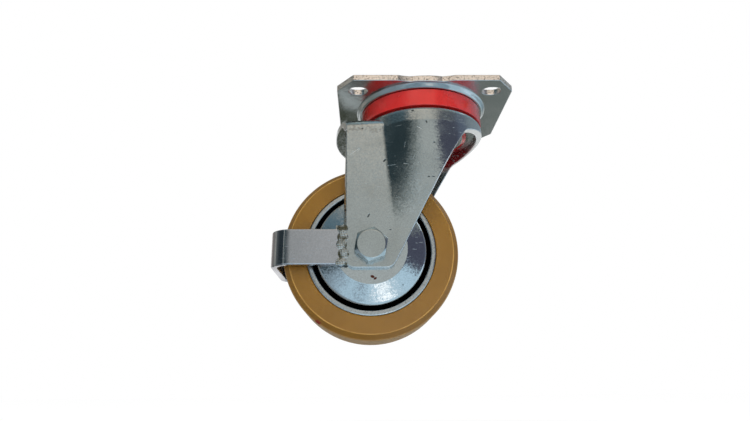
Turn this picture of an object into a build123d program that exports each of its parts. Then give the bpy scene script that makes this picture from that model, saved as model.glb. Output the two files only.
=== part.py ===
"""Swivel castor: pressed fork on a double ball race, top plate, 100 mm wheel and a foot guard.

Frame, in millimetres: the origin is the centre of the plate's top face, on the swivel axis.
+Z points up out of the plate, +X is the leading side, and the wheel trails towards -X.
"Near" is the side towards -Y, where the axle bolt's head is, and "far" is the nut's side.
Pieces on the axle are drawn about +Z and then carried to it, so their +Z is the near side.
"""
from build123d import *
from math import atan2, degrees, radians, sqrt, tan
import os

# --- driving dimensions: top plate --------------------------------------------------------
PLATE_LENGTH = 105.0
PLATE_WIDTH = 85.0
PLATE_T = 3.5
PLATE_CORNER_X = 10.0
PLATE_CORNER_Y = 12.5
WAIST_DEPTH = 2.2
WAIST_HALF = 17.0
SLOT_SPACING_X = 80.0
SLOT_SPACING_Y = 60.0
SLOT_LENGTH = 11.0
SLOT_WIDTH = 9.0
SHOULDER_R = 39.4
SHOULDER_DROP = 2.7
SHOULDER_FLAT = 3.6
FLANGE_OVER = 2.6
CUP_TOP_R = 17.4
CUP_FOOT_R = 14.4
CUP_UNDER_Z = -18.8

# --- driving dimensions: swivel head ------------------------------------------------------
UPPER_BALL_D = 8.0
UPPER_BALL_COUNT = 23
UPPER_CIRCLE_R = 30.4
LOWER_BALL_D = 6.0
LOWER_BALL_COUNT = 18
RACE_CLEARANCE = 0.05
GROOVE_DEPTH = 1.0
LOWER_RACE_T = 2.0
LOWER_RACE_R = 26.0
PIN_D = 12.0
PIN_HEAD_D = 19.0
PIN_HEAD_H = 4.0
PIN_UPSET_D = 18.0
PIN_UPSET_H = 3.4
PIN_CHAMFER = 1.2
SEAL_R = 38.0
SEAL_TOP_Z = -6.35
SEAL_BOTTOM_Z = -16.6
SEAL_WALL = 1.2
SEAL_FLOOR_T = 0.4
SEAL_CHAMFER_R = 0.4
SEAL_CHAMFER_H = 0.6
SEAL_FOOT_R = 33.95
SEAL_FOOT_W = 0.9
LOWER_SEAL_R = 28.4
LOWER_SEAL_LIP_Z = -21.75
LOWER_SEAL_LIP_T = 0.5
LOWER_SEAL_UNDER = 0.3

# --- driving dimensions: fork -------------------------------------------------------------
SHEET = 3.5
CROWN_R = 38.1
CROWN_TOP_Z = -17.0
CROWN_EDGE_R = 3.0
CROWN_RISE = 5.7
CROWN_HOLE_R = 18.2
CROWN_JOIN_R = 34.2
LEG_OUT_Y = 29.0
ROOF_TOP_Z = -20.2
ROOF_SLOPE = 3.2
ROOF_BEND_R = 6.0
ROOF_REAR_X = -54.2
ROOF_LIP_Z = -27.0
LEG_REAR_X = -48.2
LEG_REAR_TOP_X = -46.8
LEG_BOTTOM_Z = -110.3
LEG_REAR_CORNER_R = 6.5
LEG_FRONT_CORNER_R = 6.0
BULGE_TOP_Z = -26.0
BULGE_END_Z = -88.0
BULGE_BLEND_R = 4.0
BULGE_FOOT_X = -22.0
BULGE_FOOT_STEP = 2.5
FLANK_BACK_X = -32.0
FLANK_FRONT_X = 46.1
FLANK_BACK_Y = 4.0
ARCH_ANGLE = 23.6
ARCH_FRONT_X = 45.0
ARCH_KNEE_X = 23.2
ARCH_KNEE_Z = -28.6
ARCH_KNEE_R = 7.0
LEG_THROAT_X = 12.0
LEG_THROAT_Z = -47.2
LEG_THROAT_R = 250.0
LEG_FRONT_RUN = 0.522
CUT_MARGIN = 10.0

# --- driving dimensions: wheel and axle ---------------------------------------------------
AXLE_X = -32.8
AXLE_Z = -98.5
WHEEL_R = 50.0
WHEEL_WIDTH = 40.0
TREAD_EDGE_R = 4.0
RIM_R = 37.0
RIM_INNER_R = 34.0
HUB_R = 21.0
HUB_BORE_R = 15.5
HUB_WIDTH = 45.0
HUB_CHAMFER = 0.8
HUB_DRAFT = 0.6
WEB_T = 8.0
WEB_FILLET_R = 3.0
BEARING_D = 35.0
BEARING_W = 11.0
BEARING_BALL_D = 6.0
BEARING_BALL_COUNT = 8
BEARING_CIRCLE_R = 12.5
BEARING_LAND = 1.9
CAGE_T = 1.8
CAGE_LOW = -3.9
CAGE_HIGH = 0.8
CAGE_CLEARANCE = 0.15
SHIELD_OUTER_R = 14.4
SHIELD_INNER_R = 10.9
SHIELD_T = 0.6
SHIELD_SUNK = 0.4
SPACER_R = 10.2
SLEEVE_D = 15.0
SLEEVE_CLEARANCE = 0.1
BOLT_D = 10.0
BOLT_CLEARANCE = 0.05
BOLT_AF = 17.0
HEX_FLAT_SHARE = 0.92
BOLT_HEAD_H = 6.4
BOLT_HEAD_TURN = 10.0
BOLT_END_OVER = 2.5
NUT_H = 10.0
NUT_HEX_H = 7.6
NUT_COLLAR_T = 0.9
NUT_LIP = 0.4
INSERT_D = 14.0
THREAD_GUARD_R = 31.5
THREAD_GUARD_T = 1.2
THREAD_GUARD_FLAT_R = 18.5
THREAD_GUARD_EDGE_Z = 21.0
THREAD_GUARD_LIP_Z = 17.0

# --- driving dimensions: foot guard -------------------------------------------------------
BAR_HEIGHT = 20.0
BAR_T = SHEET
BAR_REAR_X = -89.0
BAR_BEND_R = 11.5
WELD_ZONE = Vector(40.0, 20.0, 60.0)
WELD_LUMPS = (
    # x, z, radius
    (-49.2, -89.6, 3.7),
    (-47.6, -93.4, 3.9),
    (-49.0, -97.6, 3.6),
    (-48.0, -101.8, 4.0),
    (-49.2, -105.8, 3.8),
)
WELD_SUNK = 0.55

# --- values that follow from them ---------------------------------------------------------
TAN_22 = tan(radians(22.5))
LEG_IN_Y = LEG_OUT_Y - SHEET
UPPER_GROOVE_R = UPPER_BALL_D / 2 + RACE_CLEARANCE
LOWER_GROOVE_R = LOWER_BALL_D / 2 + RACE_CLEARANCE
UPPER_BALL_Z = CROWN_TOP_Z - GROOVE_DEPTH + UPPER_GROOVE_R
PLATE_TRACK_Z = UPPER_BALL_Z + UPPER_GROOVE_R
TRACK_HALF = UPPER_GROOVE_R * TAN_22
CROWN_INNER_Z = CROWN_TOP_Z + CROWN_RISE
CROWN_SLOPE_R = UPPER_CIRCLE_R - TRACK_HALF - GROOVE_DEPTH - CROWN_RISE
LOWER_BALL_Z = CROWN_INNER_Z - SHEET - LOWER_GROOVE_R
LOWER_CIRCLE_R = CROWN_SLOPE_R - SHEET * TAN_22 - LOWER_GROOVE_R * TAN_22
LOWER_TRACK_Z = LOWER_BALL_Z - LOWER_GROOVE_R
BEARING_OFFSET = (HUB_WIDTH - BEARING_W) / 2


# --- shared helpers -----------------------------------------------------------------------
def parallel(points, distance):
    """The corners of a polyline moved to its left by a distance, each leg staying parallel."""
    steps = [(b - a).normalized() for a, b in zip(points, points[1:])]
    normals = [Vector(-s.Y, s.X) for s in steps]
    moved = [points[0] + normals[0] * distance]
    for point, n1, n2 in zip(points[1:], normals, normals[1:]):
        moved.append(point + (n1 + n2) * (distance / (1 + n1.dot(n2))))
    moved.append(points[-1] + normals[-1] * distance)
    return moved


def rounded(points, radii):
    """A polyline with rounded corners, each radius held to what its two legs allow."""
    legs = [b - a for a, b in zip(points, points[1:])]
    held = []
    for radius, before, after in zip(radii, legs, legs[1:]):
        room = 0.48 * min(before.length, after.length)
        held.append(min(radius, room / tan(radians(before.get_angle(after) / 2))))
    return FilletPolyline(*points, radius=held)


def sheet_section(corners, radii, thickness):
    """Section of a pressed sheet: a rounded polyline and its parallel on the left, closed."""
    points = [Vector(*c) for c in corners]
    legs = [b - a for a, b in zip(points, points[1:])]
    turns = [a.X * b.Y - a.Y * b.X for a, b in zip(legs, legs[1:])]
    left_radii = [max(r - thickness, 0.3) if t > 0 else r + thickness for r, t in zip(radii, turns)]
    left = parallel(points, thickness)
    sides = rounded(points, radii).edges() + rounded(left, left_radii).edges()
    ends = Line(points[0], left[0]).edges() + Line(points[-1], left[-1]).edges()
    return make_face(sides + ends)


def turned(section):
    """Revolve a section drawn in (radius, height) about +Z."""
    return revolve(Plane.XZ * section, Axis.Z)


def ring(outer_r, inner_r, low, high):
    """A plain ring about Z between two heights."""
    tube = extrude(Circle(outer_r) - Circle(inner_r), high - low)
    return Pos(0, 0, low) * tube


def rod(radius, low, high):
    """A plain round bar about Z between two heights."""
    return Pos(0, 0, low) * extrude(Circle(radius), high - low)


def around(shape, count):
    """Copies of a shape spaced evenly round Z, as separate solids."""
    return Compound(children=[Rotation(0, 0, 360 * i / count) * shape for i in range(count)])


def on_axle(shape):
    """Carry a shape drawn about Z to the axle: its +Z becomes the near side, its +Y points up."""
    return Location((AXLE_X, 0, AXLE_Z)) * Rotation(90, 0, 0) * shape


def far_side(shape):
    """Turn a shape on the axle end for end, from the near side to the far side."""
    return Rotation(180, 0, 0) * shape


def on_side(side, shape):
    """Carry a shape drawn for the near side to the axle, on the side asked for."""
    return on_axle(far_side(shape) if side == "far" else shape)


# --- swivel head --------------------------------------------------------------------------
def plate_outline():
    """Rectangle with cut corners, and with its long edges drawn in at the middle."""
    half_x, half_y = PLATE_LENGTH / 2, PLATE_WIDTH / 2
    corners = []
    for sx, sy in ((1, -1), (1, 1), (-1, 1), (-1, -1)):
        pair = [(sx * (half_x - PLATE_CORNER_X), sy * half_y), (sx * half_x, sy * (half_y - PLATE_CORNER_Y))]
        corners += pair if sx * sy < 0 else pair[::-1]
    outline = make_face(Polyline(*corners, close=True).edges())
    waist_r = (WAIST_HALF ** 2 + WAIST_DEPTH ** 2) / (2 * WAIST_DEPTH)
    for side in (-1, 1):
        outline -= Pos(0, side * (half_y - WAIST_DEPTH + waist_r)) * Circle(waist_r)
    return outline


def top_plate():
    """Pressed plate: slots, the shoulder over the seal, the upper ball track and the centre cup."""
    flange_r = SHOULDER_R + FLANGE_OVER
    slots = GridLocations(SLOT_SPACING_X, SLOT_SPACING_Y, 2, 2) * SlotOverall(SLOT_LENGTH, SLOT_WIDTH)
    flat = plate_outline() - Circle(flange_r) - slots
    lip_z = PLATE_TRACK_Z - GROOVE_DEPTH
    under = [
        (PIN_D / 2, CUP_UNDER_Z),
        (CUP_FOOT_R, CUP_UNDER_Z),
        (CUP_TOP_R, lip_z),
        (UPPER_CIRCLE_R - TRACK_HALF - GROOVE_DEPTH, lip_z),
        (UPPER_CIRCLE_R - TRACK_HALF, PLATE_TRACK_Z),
        (UPPER_CIRCLE_R + TRACK_HALF, PLATE_TRACK_Z),
        (UPPER_CIRCLE_R + TRACK_HALF + GROOVE_DEPTH, lip_z),
        (SHOULDER_R - SHOULDER_FLAT, -PLATE_T - SHOULDER_DROP),
        (SHOULDER_R, -PLATE_T - SHOULDER_DROP),
        (SHOULDER_R + FLANGE_OVER / 2, -PLATE_T),
        (flange_r, -PLATE_T),
    ]
    radii = [1.2, 1.0, 0.4, 3.5, 3.5, 0.4, 1.2, 1.2, 0.8]
    return extrude(flat, -PLATE_T) + turned(sheet_section(under, radii, PLATE_T))


def king_pin():
    """Riveted centre pin: its head lies in the plate's cup, its lower end is upset under the race."""
    head_z = CUP_UNDER_Z + PLATE_T
    upset_z = CUP_UNDER_Z - LOWER_RACE_T
    half = [
        (0, head_z + PIN_HEAD_H),
        (PIN_HEAD_D / 2 - PIN_CHAMFER, head_z + PIN_HEAD_H),
        (PIN_HEAD_D / 2, head_z + PIN_HEAD_H - PIN_CHAMFER),
        (PIN_HEAD_D / 2, head_z),
        (PIN_D / 2, head_z),
        (PIN_D / 2, upset_z),
        (PIN_UPSET_D / 2, upset_z),
        (PIN_UPSET_D / 2 - PIN_CHAMFER, upset_z - PIN_UPSET_H),
        (0, upset_z - PIN_UPSET_H),
    ]
    return turned(make_face(Polyline(*half, close=True).edges()))


def lower_race():
    """Pressed disc riveted under the crown, with the lower ball track round its hub."""
    slope_r = LOWER_CIRCLE_R - LOWER_GROOVE_R * TAN_22
    top = [
        (LOWER_RACE_R, LOWER_TRACK_Z),
        (slope_r, LOWER_TRACK_Z),
        (slope_r - (CUP_UNDER_Z - LOWER_TRACK_Z), CUP_UNDER_Z),
        (PIN_D / 2, CUP_UNDER_Z),
    ]
    return turned(sheet_section(top, [2.6, 1.0], LOWER_RACE_T))


def upper_balls():
    """The upper race's full row of balls."""
    return around(Pos(UPPER_CIRCLE_R, 0, UPPER_BALL_Z) * Sphere(UPPER_BALL_D / 2), UPPER_BALL_COUNT)


def lower_balls():
    """The lower race's full row of balls."""
    return around(Pos(LOWER_CIRCLE_R, 0, LOWER_BALL_Z) * Sphere(LOWER_BALL_D / 2), LOWER_BALL_COUNT)


def swivel_seal():
    """Moulded ring that closes the gap between plate and crown, on a foot that rests on the crown."""
    inner_r = SEAL_R - SEAL_WALL
    foot_top = SEAL_BOTTOM_Z + SEAL_FLOOR_T
    section = [
        (SEAL_R - SEAL_CHAMFER_R, SEAL_TOP_Z),
        (SEAL_R, SEAL_TOP_Z - SEAL_CHAMFER_H),
        (SEAL_R, SEAL_BOTTOM_Z),
        (SEAL_FOOT_R + SEAL_FOOT_W, SEAL_BOTTOM_Z),
        (SEAL_FOOT_R + SEAL_FOOT_W, CROWN_TOP_Z),
        (SEAL_FOOT_R, CROWN_TOP_Z),
        (SEAL_FOOT_R, foot_top),
        (inner_r, foot_top),
        (inner_r, SEAL_TOP_Z),
    ]
    return turned(make_face(Polyline(*section, close=True).edges()))


def lower_seal():
    """Moulded ring on the lower race's edge, its thin lip just under the crown."""
    section = [
        (LOWER_RACE_R, LOWER_TRACK_Z - LOWER_SEAL_UNDER),
        (LOWER_SEAL_R, LOWER_SEAL_LIP_Z),
        (LOWER_SEAL_R, LOWER_SEAL_LIP_Z - LOWER_SEAL_LIP_T),
        (LOWER_RACE_R, LOWER_TRACK_Z - LOWER_RACE_T),
    ]
    return turned(make_face(Polyline(*section, close=True).edges()))


# --- fork ---------------------------------------------------------------------------------
def fork_flank(inset):
    """The near leg's round flank: the crown's circle at the top, flattening into the leg lower down."""
    crown_r = CROWN_R - inset
    leg_y = LEG_OUT_Y - inset
    blend_r = BULGE_BLEND_R + inset
    blend_x = sqrt((crown_r + blend_r) ** 2 - (leg_y + blend_r) ** 2)
    touch_angle = degrees(atan2(leg_y + blend_r, blend_x))

    flat = Line((FLANK_BACK_X, -leg_y), (-blend_x, -leg_y))
    blend = JernArc(flat @ 1, (1, 0), blend_r, touch_angle - 90)
    crown = CenterArc((0, 0), crown_r, touch_angle - 180, 180 - touch_angle)
    back = [(crown_r, 0), (crown_r, FLANK_BACK_Y), (FLANK_BACK_X, FLANK_BACK_Y), (FLANK_BACK_X, -leg_y)]
    top = make_face([*flat.edges(), *blend.edges(), *crown.edges(), *Polyline(*back).edges()])

    # the flat foot has a corner for each corner of the top, so that the loft's sides match
    corners = [
        (FLANK_BACK_X, -leg_y),
        (BULGE_FOOT_X, -leg_y),
        (BULGE_FOOT_X + BULGE_FOOT_STEP, -leg_y),
        (FLANK_FRONT_X, -leg_y),
        (FLANK_FRONT_X, FLANK_BACK_Y),
        (FLANK_BACK_X, FLANK_BACK_Y),
    ]
    foot = make_face(Polyline(*corners, close=True).edges())
    return loft([Pos(0, 0, BULGE_END_Z) * foot, Pos(0, 0, BULGE_TOP_Z) * top], ruled=True)


def fork_forms(inset):
    """Filled forms that make the fork up, each moved in by an inset: crown, roof with legs, two flanks."""
    crown = Pos(0, 0, BULGE_TOP_Z) * extrude(Circle(CROWN_R - inset), CROWN_TOP_Z - inset - BULGE_TOP_Z)
    crown = fillet(crown.edges().group_by(Axis.Z)[-1], max(CROWN_EDGE_R - inset, 0.5))

    length, depth = CUT_MARGIN - ROOF_REAR_X, CUT_MARGIN - LEG_BOTTOM_Z
    block = Pos(-length / 2, 0, -depth / 2) * Box(length, 2 * (LEG_OUT_Y - inset), depth)
    block = fillet(block.edges().filter_by(Axis.X).group_by(Axis.Z)[-1], ROOF_BEND_R - inset)
    tilt = Location((-CROWN_R, 0, ROOF_TOP_Z - inset)) * Rotation(0, -ROOF_SLOPE, 0) * Pos(CROWN_R, 0, 0)

    flank = fork_flank(inset)
    return [crown, tilt * block, flank, mirror(flank, about=Plane.XZ)]


def fork_side():
    """The fork's outline from the side: roof, slanted front edges and the round foot of the legs."""
    arch_z = ARCH_KNEE_Z + (ARCH_FRONT_X - ARCH_KNEE_X) * tan(radians(ARCH_ANGLE))
    foot_x = LEG_THROAT_X - (LEG_THROAT_Z - LEG_BOTTOM_Z) * LEG_FRONT_RUN
    back_x = ROOF_REAR_X - CUT_MARGIN
    corners = [
        (back_x, 0),
        (ARCH_FRONT_X, 0),
        (ARCH_FRONT_X, arch_z),
        (ARCH_KNEE_X, ARCH_KNEE_Z),
        (LEG_THROAT_X, LEG_THROAT_Z),
        (foot_x, LEG_BOTTOM_Z),
        (LEG_REAR_X, LEG_BOTTOM_Z),
        (LEG_REAR_X, AXLE_Z + BAR_HEIGHT / 2),
        (LEG_REAR_TOP_X, ROOF_LIP_Z),
        (back_x, ROOF_LIP_Z),
    ]
    radii = [0, 0, 0, ARCH_KNEE_R, LEG_THROAT_R, LEG_FRONT_CORNER_R, LEG_REAR_CORNER_R, 0, 0, 0]
    outline = make_face(FilletPolyline(*corners, radius=radii, close=True).edges())
    return extrude(Plane.XZ * outline, CROWN_R + CUT_MARGIN, both=True)


def roof_plan():
    """The roof's rounded rear edge seen from above, as a tall cylinder to keep the fork inside."""
    overhang = LEG_REAR_TOP_X - ROOF_REAR_X
    arc_r = (LEG_OUT_Y ** 2 + overhang ** 2) / (2 * overhang)
    return Pos(ROOF_REAR_X + arc_r, 0) * rod(arc_r, LEG_BOTTOM_Z - CUT_MARGIN, 0)


def crown_ring():
    """The pressed middle of the crown: one bend carries the upper balls above and the lower ones below."""
    top = [
        (CROWN_JOIN_R, CROWN_TOP_Z),
        (UPPER_CIRCLE_R + TRACK_HALF + GROOVE_DEPTH, CROWN_TOP_Z),
        (UPPER_CIRCLE_R + TRACK_HALF, CROWN_TOP_Z - GROOVE_DEPTH),
        (UPPER_CIRCLE_R - TRACK_HALF, CROWN_TOP_Z - GROOVE_DEPTH),
        (CROWN_SLOPE_R, CROWN_INNER_Z),
        (CROWN_HOLE_R, CROWN_INNER_Z),
    ]
    return turned(sheet_section(top, [0.4, 3.5, 3.5, 1.0], SHEET))


def fork():
    """Pressed fork, one sheet of steel: crown, roof, two legs with round flanks, and the axle hole."""
    outside = fork_forms(0)
    shell = outside[0].fuse(*outside[1:])
    for form in fork_forms(SHEET):
        shell -= form
    shell -= Pos(0, 0, CROWN_TOP_Z - SHEET) * Cylinder(CROWN_JOIN_R, 3 * SHEET)
    shell = shell & fork_side() & roof_plan()
    shell += crown_ring()
    return shell - on_axle(Cylinder(BOLT_D / 2 + BOLT_CLEARANCE, 4 * LEG_OUT_Y))


# --- foot guard ---------------------------------------------------------------------------
def guard_plan(grow_y, rear_x, bend_r):
    """Filled plan of the bar's loop, out to one of its faces."""
    length = LEG_REAR_X - rear_x
    plan = Pos(rear_x + length / 2, 0) * Rectangle(length, 2 * grow_y)
    return fillet(plan.vertices().group_by(Axis.X)[0], bend_r)


def foot_guard():
    """Flat bar bent round the back of the wheel, its ends against the fork legs' rear edges."""
    outer = guard_plan(LEG_OUT_Y, BAR_REAR_X, BAR_BEND_R)
    inner = guard_plan(LEG_OUT_Y - BAR_T, BAR_REAR_X + BAR_T, BAR_BEND_R - BAR_T)
    return Pos(0, 0, AXLE_Z - BAR_HEIGHT / 2) * extrude(outer - inner, BAR_HEIGHT)


def guard_weld(side):
    """Weld down the joint of bar and leg: a run of round lumps that stand on their outer faces."""
    lumps = []
    for x, z, r in WELD_LUMPS:
        lumps.append(Pos(x, side * (LEG_OUT_Y - WELD_SUNK * r), z) * Sphere(r))
    run = lumps[0].fuse(*lumps[1:])
    outside = Pos(LEG_REAR_X, side * (LEG_OUT_Y + WELD_ZONE.Y / 2), AXLE_Z) * Box(*WELD_ZONE)
    return run & outside


# --- axle ---------------------------------------------------------------------------------
def hex_prism(across_flats, height):
    """Hexagonal prism on z = 0 with a corner towards +Y and its top corners turned off at 30 degrees."""
    corner_r = across_flats / sqrt(3)
    flat_r = HEX_FLAT_SHARE * across_flats / 2
    cone_h = (corner_r - flat_r) * tan(radians(30))
    prism = extrude(RegularPolygon(corner_r, 6, rotation=30), height)
    half = [(0, 0), (corner_r, 0), (corner_r, height - cone_h), (flat_r, height), (0, height)]
    return prism & turned(make_face(Polyline(*half, close=True).edges()))


def axle_bolt():
    """Hexagon bolt through both legs, its head on the near leg."""
    head = Rotation(0, 0, -BOLT_HEAD_TURN) * hex_prism(BOLT_AF, BOLT_HEAD_H)
    end_z = -(LEG_OUT_Y + NUT_H + BOLT_END_OVER)
    shank = rod(BOLT_D / 2, end_z, LEG_OUT_Y)
    return on_axle(Pos(0, 0, LEG_OUT_Y) * head + shank)


def axle_nut():
    """Lock nut on the far leg: a hexagon with a round collar that holds the insert."""
    body = hex_prism(BOLT_AF, NUT_HEX_H) + rod(INSERT_D / 2 + NUT_COLLAR_T, 0, NUT_H)
    body -= rod(BOLT_D / 2, 0, NUT_H)
    body -= rod(INSERT_D / 2, NUT_HEX_H, NUT_H - NUT_LIP)
    return on_axle(far_side(Pos(0, 0, LEG_OUT_Y) * body))


def nut_insert():
    """Plastic locking ring in the nut's collar."""
    band = ring(INSERT_D / 2, BOLT_D / 2, NUT_HEX_H, NUT_H - NUT_LIP)
    return on_axle(far_side(Pos(0, 0, LEG_OUT_Y) * band))


def axle_sleeve():
    """Tube clamped between the legs: the bolt runs through it and the bearings sit on it."""
    return on_axle(ring(SLEEVE_D / 2, BOLT_D / 2 + SLEEVE_CLEARANCE, -LEG_IN_Y, LEG_IN_Y))


def thread_guard():
    """Dished steel disc that keeps thread out of the hub; it stands still with the fork."""
    face = [
        (THREAD_GUARD_R, THREAD_GUARD_LIP_Z),
        (THREAD_GUARD_R, THREAD_GUARD_EDGE_Z),
        (THREAD_GUARD_FLAT_R, LEG_IN_Y),
        (SLEEVE_D / 2, LEG_IN_Y),
    ]
    return turned(sheet_section(face, [1.6, 3.0], THREAD_GUARD_T))


def bearing_spacer():
    """Ring on the sleeve between the thread guard and the bearing's inner ring."""
    return ring(SPACER_R, SLEEVE_D / 2, HUB_WIDTH / 2, LEG_IN_Y - THREAD_GUARD_T)


# --- wheel bearings, drawn about their own middle -----------------------------------------
def race_ring(inner_r, outer_r):
    """A bearing ring with the balls' groove in it."""
    groove_r = BEARING_BALL_D / 2 + RACE_CLEARANCE
    body = Rectangle(outer_r - inner_r, BEARING_W)
    section = Pos((inner_r + outer_r) / 2, 0) * body - Pos(BEARING_CIRCLE_R, 0) * Circle(groove_r)
    return turned(section)


def bearing_inner():
    """Inner ring, clamped on the sleeve."""
    return race_ring(SLEEVE_D / 2, BEARING_CIRCLE_R - BEARING_LAND)


def bearing_outer():
    """Outer ring, pressed into the hub's seat."""
    return race_ring(BEARING_CIRCLE_R + BEARING_LAND, BEARING_D / 2)


def bearing_balls():
    """The bearing's balls."""
    return around(Pos(BEARING_CIRCLE_R, 0, 0) * Sphere(BEARING_BALL_D / 2), BEARING_BALL_COUNT)


def bearing_cage():
    """Snap-in cage: a ring with a pocket for every ball, open on one side."""
    pocket = Pos(BEARING_CIRCLE_R, 0, 0) * Sphere(BEARING_BALL_D / 2 + CAGE_CLEARANCE)
    band = ring(BEARING_CIRCLE_R + CAGE_T / 2, BEARING_CIRCLE_R - CAGE_T / 2, CAGE_LOW, CAGE_HIGH)
    for i in range(BEARING_BALL_COUNT):
        band -= Rotation(0, 0, 360 * i / BEARING_BALL_COUNT) * pocket
    return band


def bearing_shield():
    """Thin disc in the outer ring's mouth, clear of the inner ring."""
    top = BEARING_W / 2 - SHIELD_SUNK
    return ring(SHIELD_OUTER_R, SHIELD_INNER_R, top - SHIELD_T, top)


# --- wheel --------------------------------------------------------------------------------
def wheel_rim():
    """Cast wheel centre: hub with two bearing seats, web and rim, turned as one section."""
    half_w, half_hub, half_web = WHEEL_WIDTH / 2, HUB_WIDTH / 2, WEB_T / 2
    seat_z = half_hub - BEARING_W
    seat_r = BEARING_D / 2
    section = [
        (HUB_BORE_R, 0),
        (HUB_BORE_R, seat_z),
        (seat_r, seat_z),
        (seat_r, half_hub),
        (HUB_R - HUB_CHAMFER, half_hub),
        (HUB_R, half_hub - HUB_CHAMFER),
        (HUB_R + HUB_DRAFT, half_web),
        (RIM_INNER_R - HUB_DRAFT, half_web),
        (RIM_INNER_R, half_w),
        (RIM_R, half_w),
        (RIM_R, 0),
    ]
    radii = [0, 0, 0, 0, 0, WEB_FILLET_R, WEB_FILLET_R, 0, 0]
    half = make_face(FilletPolyline(*section, radius=radii).edges() + Line(section[-1], section[0]).edges())
    upper = turned(half)
    return upper + mirror(upper, about=Plane.XY)


def tread():
    """Polyurethane tyre cast on the rim, with rounded edges."""
    section = Pos((WHEEL_R + RIM_R) / 2, 0) * Rectangle(WHEEL_R - RIM_R, WHEEL_WIDTH)
    section = fillet(section.vertices().group_by(Axis.X)[-1], TREAD_EDGE_R)
    return turned(section)


# --- assembly -----------------------------------------------------------------------------
def bearing_nodes(side):
    """The pieces of one wheel bearing, by node name."""
    place = Pos(0, 0, BEARING_OFFSET)
    pieces = {
        "bearing_outer": bearing_outer(),
        "bearing_inner": bearing_inner(),
        "bearing_balls": bearing_balls(),
        "bearing_cage": bearing_cage(),
        "bearing_shield_out": bearing_shield(),
        "bearing_shield_in": mirror(bearing_shield(), about=Plane.XY),
    }
    return {f"{name}_{side}": on_side(side, place * piece) for name, piece in pieces.items()}


def castor_nodes():
    """Every piece of the castor, by node name."""
    nodes = {
        "top_plate": top_plate(),
        "king_pin": king_pin(),
        "lower_race": lower_race(),
        "lower_seal": lower_seal(),
        "upper_balls": upper_balls(),
        "lower_balls": lower_balls(),
        "swivel_seal": swivel_seal(),
        "fork": fork(),
        "foot_guard": foot_guard(),
        "guard_weld_near": guard_weld(-1),
        "guard_weld_far": guard_weld(1),
        "axle_bolt": axle_bolt(),
        "axle_nut": axle_nut(),
        "axle_nut_insert": nut_insert(),
        "axle_sleeve": axle_sleeve(),
        "wheel_rim": on_axle(wheel_rim()),
        "tread": on_axle(tread()),
    }
    for side in ("near", "far"):
        nodes[f"thread_guard_{side}"] = on_side(side, thread_guard())
        nodes[f"bearing_spacer_{side}"] = on_side(side, bearing_spacer())
        nodes.update(bearing_nodes(side))
    return nodes


os.makedirs("parts", exist_ok=True)
for node, shape in castor_nodes().items():
    export_step(shape, f"parts/{node}.step")
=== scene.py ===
"""Looks of a plate-mounted swivel castor: surfaces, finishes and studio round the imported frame."""
import math

import bmesh
import bpy
import numpy as np
from bpy.props import FloatProperty, FloatVectorProperty, IntProperty, PointerProperty
from mathutils import Matrix, Vector


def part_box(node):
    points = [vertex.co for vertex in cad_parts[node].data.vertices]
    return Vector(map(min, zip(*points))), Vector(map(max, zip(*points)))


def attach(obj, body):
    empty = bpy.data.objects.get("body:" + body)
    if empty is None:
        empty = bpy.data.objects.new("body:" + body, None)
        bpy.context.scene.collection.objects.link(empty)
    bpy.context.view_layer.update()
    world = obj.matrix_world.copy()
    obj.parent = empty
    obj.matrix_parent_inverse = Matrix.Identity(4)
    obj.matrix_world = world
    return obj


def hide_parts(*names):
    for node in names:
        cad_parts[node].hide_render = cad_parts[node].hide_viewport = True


bl_info = {
    "name": "Swivel Castor",
    "version": (1, 0, 0),
    "blender": (4, 5, 0),
    "location": "View3D > Sidebar > Castor",
    "description": "Builds the surfaces, finishes and studio of a plate-mounted swivel castor",
    "category": "Add Mesh",
}

MM = 0.001
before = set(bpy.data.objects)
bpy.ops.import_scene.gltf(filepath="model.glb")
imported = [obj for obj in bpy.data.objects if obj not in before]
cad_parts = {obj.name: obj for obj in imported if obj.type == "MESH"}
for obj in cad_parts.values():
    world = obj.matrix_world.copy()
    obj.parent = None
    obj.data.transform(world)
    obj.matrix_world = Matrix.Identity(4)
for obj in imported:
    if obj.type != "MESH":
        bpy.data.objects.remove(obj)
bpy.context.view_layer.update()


# --- places and sizes that the frame gives, in millimetres --------------------------------
def size_of(name):
    """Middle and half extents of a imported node."""
    low, high = (np.array(corner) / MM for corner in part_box(name))
    return (low + high) / 2, (high - low) / 2


AXLE, TREAD_HALF = size_of("tread")
WHEEL_R, WHEEL_HALF = TREAD_HALF[2], TREAD_HALF[1]
RIM_R, HUB_HALF = size_of("wheel_rim")[1][[0, 1]]
SEAL_MIDDLE, SEAL_HALF = size_of("swivel_seal")
COVER_MIDDLE, COVER_HALF = size_of("thread_guard_far")
BOLT_MIDDLE, BOLT_HALF = size_of("axle_bolt")
NUT_MIDDLE, NUT_HALF = size_of("axle_nut")
BAR_MIDDLE, BAR_HALF = size_of("foot_guard")
LEG_OUT = BAR_HALF[1]
BAR_END_X = BAR_MIDDLE[0] + BAR_HALF[0]
SEAT_R, BEARING_HALF = size_of("bearing_outer_far")[1][[0, 1]]
SLEEVE_R = size_of("axle_sleeve")[1][0]


def linear(code):
    """Linear colour from an sRGB hex code such as "#b0b4b2"."""
    srgb = np.array([int(code[i:i + 2], 16) for i in (1, 3, 5)]) / 255
    low, high = srgb / 12.92, ((srgb + 0.055) / 1.055) ** 2.4
    return tuple(float(c) for c in np.where(srgb <= 0.04045, low, high))


# --- settings -----------------------------------------------------------------------------
def length_setting(name, description, millimetres):
    """A length that a user may change."""
    return FloatProperty(name=name, description=description, unit="LENGTH", default=millimetres * MM)


def angle_setting(name, description, degrees):
    """An angle that a user may change."""
    return FloatProperty(name=name, description=description, subtype="ANGLE", default=math.radians(degrees))


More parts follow.
